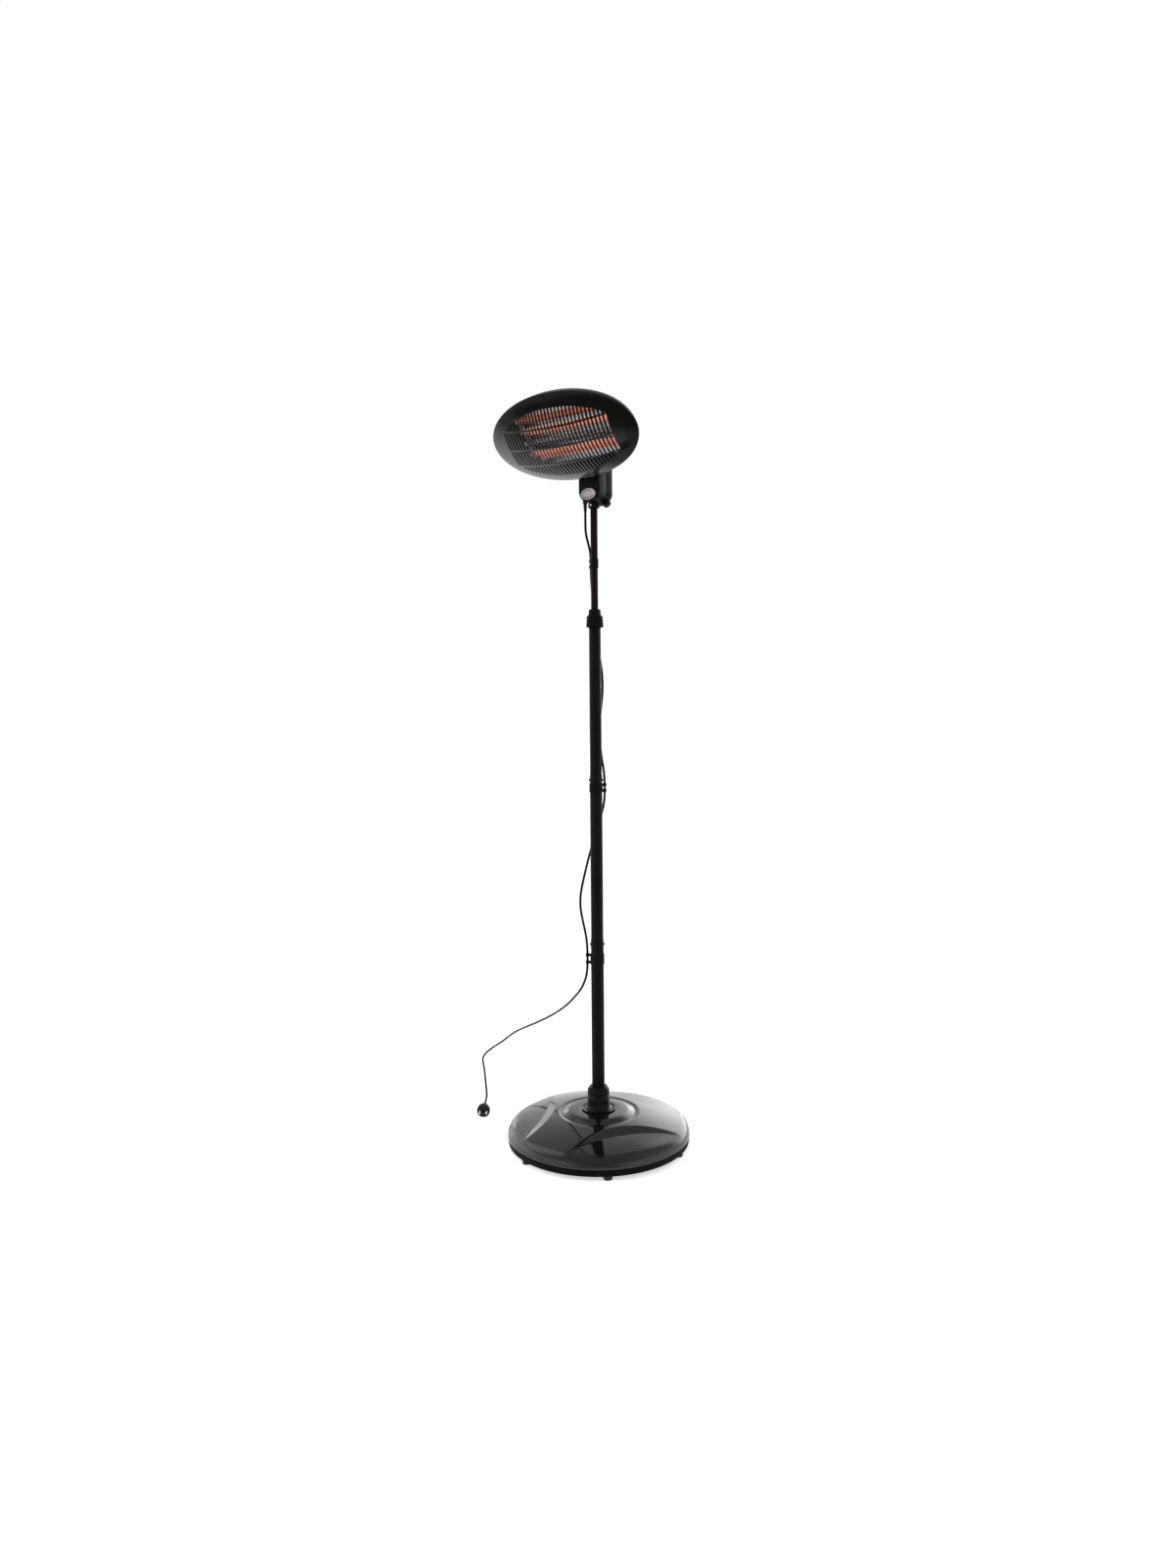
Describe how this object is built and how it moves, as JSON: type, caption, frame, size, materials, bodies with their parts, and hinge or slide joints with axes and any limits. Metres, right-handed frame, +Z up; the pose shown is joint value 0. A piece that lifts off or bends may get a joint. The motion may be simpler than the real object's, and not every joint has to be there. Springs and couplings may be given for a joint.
{
  "type": "patio heater",
  "caption": "Free-standing infrared patio heater: round base, telescopic pole, switch box and a tilting oval head with glowing quartz tubes behind a slotted guard.",
  "frame": {"origin": "on the floor under the middle of the base, on the pole's axis", "axes": "+Z up along the pole; the head faces -Y; +X to the right of someone who looks at the front"},
  "size_m": [0.9666, 0.6965, 1.9766],
  "materials": {
    "base_black": "gloss black enamel",
    "pole_black": "satin black powder coat",
    "head_black": "semi-gloss black enamel",
    "moulding_black": "fine-textured black moulding",
    "switch_white": "pale moulding",
    "zinc": "zinc plated",
    "badge_silver": "satin silver",
    "reflector_aluminium": "bright rolled aluminium",
    "quartz": "clear quartz",
    "element": "heating wire, glows orange in use",
    "ceramic": "unglazed white",
    "feet_rubber": "black rubber",
    "lead_rubber": "black flexible sheath",
    "ballast": "cast cement",
    "pin_brass": "nickel-plated"
  },
  "bodies": {
    "stand": {"base_cover": "base_black", "base_bottom_plate": "pole_black", "base_weight": "ballast", "base_feet": "feet_rubber", "foot_screws": "zinc", "base_bolt": "zinc", "base_washer": "zinc", "pole_end_plug": "moulding_black", "pole_socket": "moulding_black", "pole_socket_cap": "moulding_black", "pole_lower": "pole_black", "pole_middle": "pole_black", "pole_upper": "pole_black", "joint_screws_low": "pole_black", "joint_screws_mid": "pole_black", "cable_clip_low": "moulding_black", "cable_clip_mid": "moulding_black", "height_bush": "moulding_black", "height_collet": "moulding_black", "lead_mast": "lead_rubber", "lead_pole": "lead_rubber", "lead_floor": "lead_rubber", "plug_body": "lead_rubber", "plug_pins": "pin_brass"},
    "lock_nut": {"height_nut": "moulding_black"},
    "mast": {"inner_tube": "pole_black", "tube_guide": "moulding_black", "tube_top_collar": "moulding_black", "collar_set_screw": "zinc", "cable_clip_top": "moulding_black", "lead_neck": "lead_rubber"},
    "neck": {"neck_front_shell": "moulding_black", "neck_rear_shell": "moulding_black", "neck_screws": "zinc", "neck_badge": "badge_silver", "neck_socket": "moulding_black", "cable_gland": "lead_rubber", "rotary_switch": "switch_white", "tip_over_switch": "switch_white", "terminal_block": "switch_white", "neck_yoke": "head_black", "tilt_bolt": "zinc", "tilt_nut": "zinc", "tilt_washers": "zinc"},
    "selector": {"selector_knob": "moulding_black"},
    "head": {"head_bracket": "head_black", "rear_housing": "head_black", "front_guard": "head_black", "reflector": "reflector_aluminium", "tube_bracket_left": "zinc", "tube_bracket_right": "zinc", "quartz_tube_1": "quartz", "quartz_tube_2": "quartz", "quartz_tube_3": "quartz", "quartz_tube_4": "quartz", "heating_elements": "element", "ceramic_caps": "ceramic", "reflector_posts": "zinc", "rear_screws": "zinc"}
  },
  "joints": [
    {"name": "height_slide", "type": "slide", "parent": "stand", "child": "mast", "axis": [0, 0, 1], "range_m": [-0.1, 0.12], "deforming": ["lead_mast"]},
    {"name": "lock_nut_turn", "type": "hinge", "parent": "stand", "child": "lock_nut", "pos_m": [0, 0, 1.42], "axis": [0, 0, 1], "range_deg": [0, 90]},
    {"name": "head_swivel", "type": "hinge", "parent": "mast", "child": "neck", "pos_m": [0, 0, 1.76], "axis": [0, 0, 1], "range_deg": [-45, 45], "deforming": ["lead_neck"]},
    {"name": "selector_turn", "type": "hinge", "parent": "neck", "child": "selector", "pos_m": [0, 0.024, 1.763], "axis": [0.6428, 0, -0.766], "range_deg": [0, 270]},
    {"name": "head_tilt", "type": "hinge", "parent": "neck", "child": "head", "pos_m": [0, 0.012, 1.85], "axis": [1, 0, 0], "range_deg": [-45, 0]}
  ]
}
